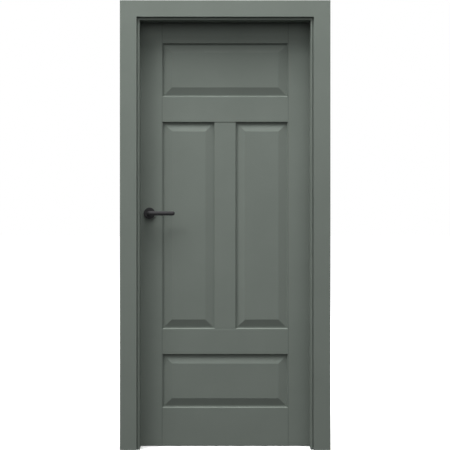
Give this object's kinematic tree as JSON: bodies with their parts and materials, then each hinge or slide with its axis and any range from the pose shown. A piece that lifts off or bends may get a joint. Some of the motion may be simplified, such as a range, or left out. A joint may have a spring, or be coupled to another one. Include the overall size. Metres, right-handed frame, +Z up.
{
  "type": "interior door",
  "caption": "Rebated interior door with raised panels and a black lever latch, hung in a wall-wrapping frame with flat architraves.",
  "frame": {"origin": "on the floor, midway between the outer edges of the frame, midway in depth between the front architrave's face and the rear lever's back", "axes": "+X towards the hinges, +Y towards the pull side where the leaf opens, +Z up"},
  "size_m": [0.989, 0.1812, 2.1135],
  "materials": {
    "painted_wood": "satin grey-green paint",
    "soft_gasket": "matte",
    "zinc_plate": "zinc plated",
    "bare_wood": "planed beech",
    "hinge_nickel": "satin nickel",
    "nylon": "moulded",
    "black_metal": "matte black powder coat",
    "spring_steel": "oiled"
  },
  "bodies": {
    "frame": {"lock_jamb": "painted_wood", "hinge_jamb": "painted_wood", "head_jamb": "painted_wood", "front_architrave_lock_side": "painted_wood", "front_architrave_hinge_side": "painted_wood", "front_architrave_head": "painted_wood", "rear_architrave_lock_side": "painted_wood", "rear_architrave_hinge_side": "painted_wood", "rear_architrave_head": "painted_wood", "gasket": "soft_gasket", "corner_brackets": "zinc_plate", "bracket_screws": "zinc_plate", "hinge_blocks": "bare_wood", "hinge_frame_halves": "hinge_nickel", "hinge_pins": "hinge_nickel", "hinge_washers": "nylon", "strike_plate": "black_metal", "strike_screws": "zinc_plate"},
    "leaf": {"lock_stile": "painted_wood", "hinge_stile": "painted_wood", "top_rail": "painted_wood", "upper_cross_rail": "painted_wood", "lower_cross_rail": "painted_wood", "bottom_rail": "painted_wood", "muntin": "painted_wood", "top_panel": "painted_wood", "left_panel": "painted_wood", "right_panel": "painted_wood", "bottom_panel": "painted_wood", "dowels": "bare_wood", "hinge_leaf_halves": "hinge_nickel", "latch_case": "zinc_plate", "latch_case_cover": "zinc_plate", "forend": "black_metal", "forend_screws": "zinc_plate", "front_rosette": "black_metal", "rear_rosette": "black_metal", "front_rosette_base": "nylon", "rear_rosette_base": "nylon", "through_bolts": "zinc_plate", "latch_spring": "spring_steel"},
    "lever_set": {"front_lever": "black_metal", "rear_lever": "black_metal", "spindle": "zinc_plate", "follower": "zinc_plate", "grub_screws": "black_metal"},
    "latch": {"latch_bolt": "zinc_plate"}
  },
  "joints": [
    {"name": "door_swing", "type": "hinge", "parent": "frame", "child": "leaf", "pos_m": [0.433, 0.02937, 0.243], "axis": [0, 0, -1], "range_deg": [0, 170]},
    {"name": "lever_turn", "type": "hinge", "parent": "leaf", "child": "lever_set", "pos_m": [-0.361, 0.01537, 1.112], "axis": [0, 1, 0], "range_deg": [0, 38], "stiffness_Nm_per_rad": 1.5, "springref_deg": -20.05},
    {"name": "latch_slide", "type": "slide", "parent": "leaf", "child": "latch", "axis": [1, 0, 0], "range_m": [0, 0.011], "deforming": ["latch_spring"]}
  ],
  "couplings": [
    {"joint": "latch_slide", "follows": "lever_turn", "m_per_rad": 0.016585}
  ]
}
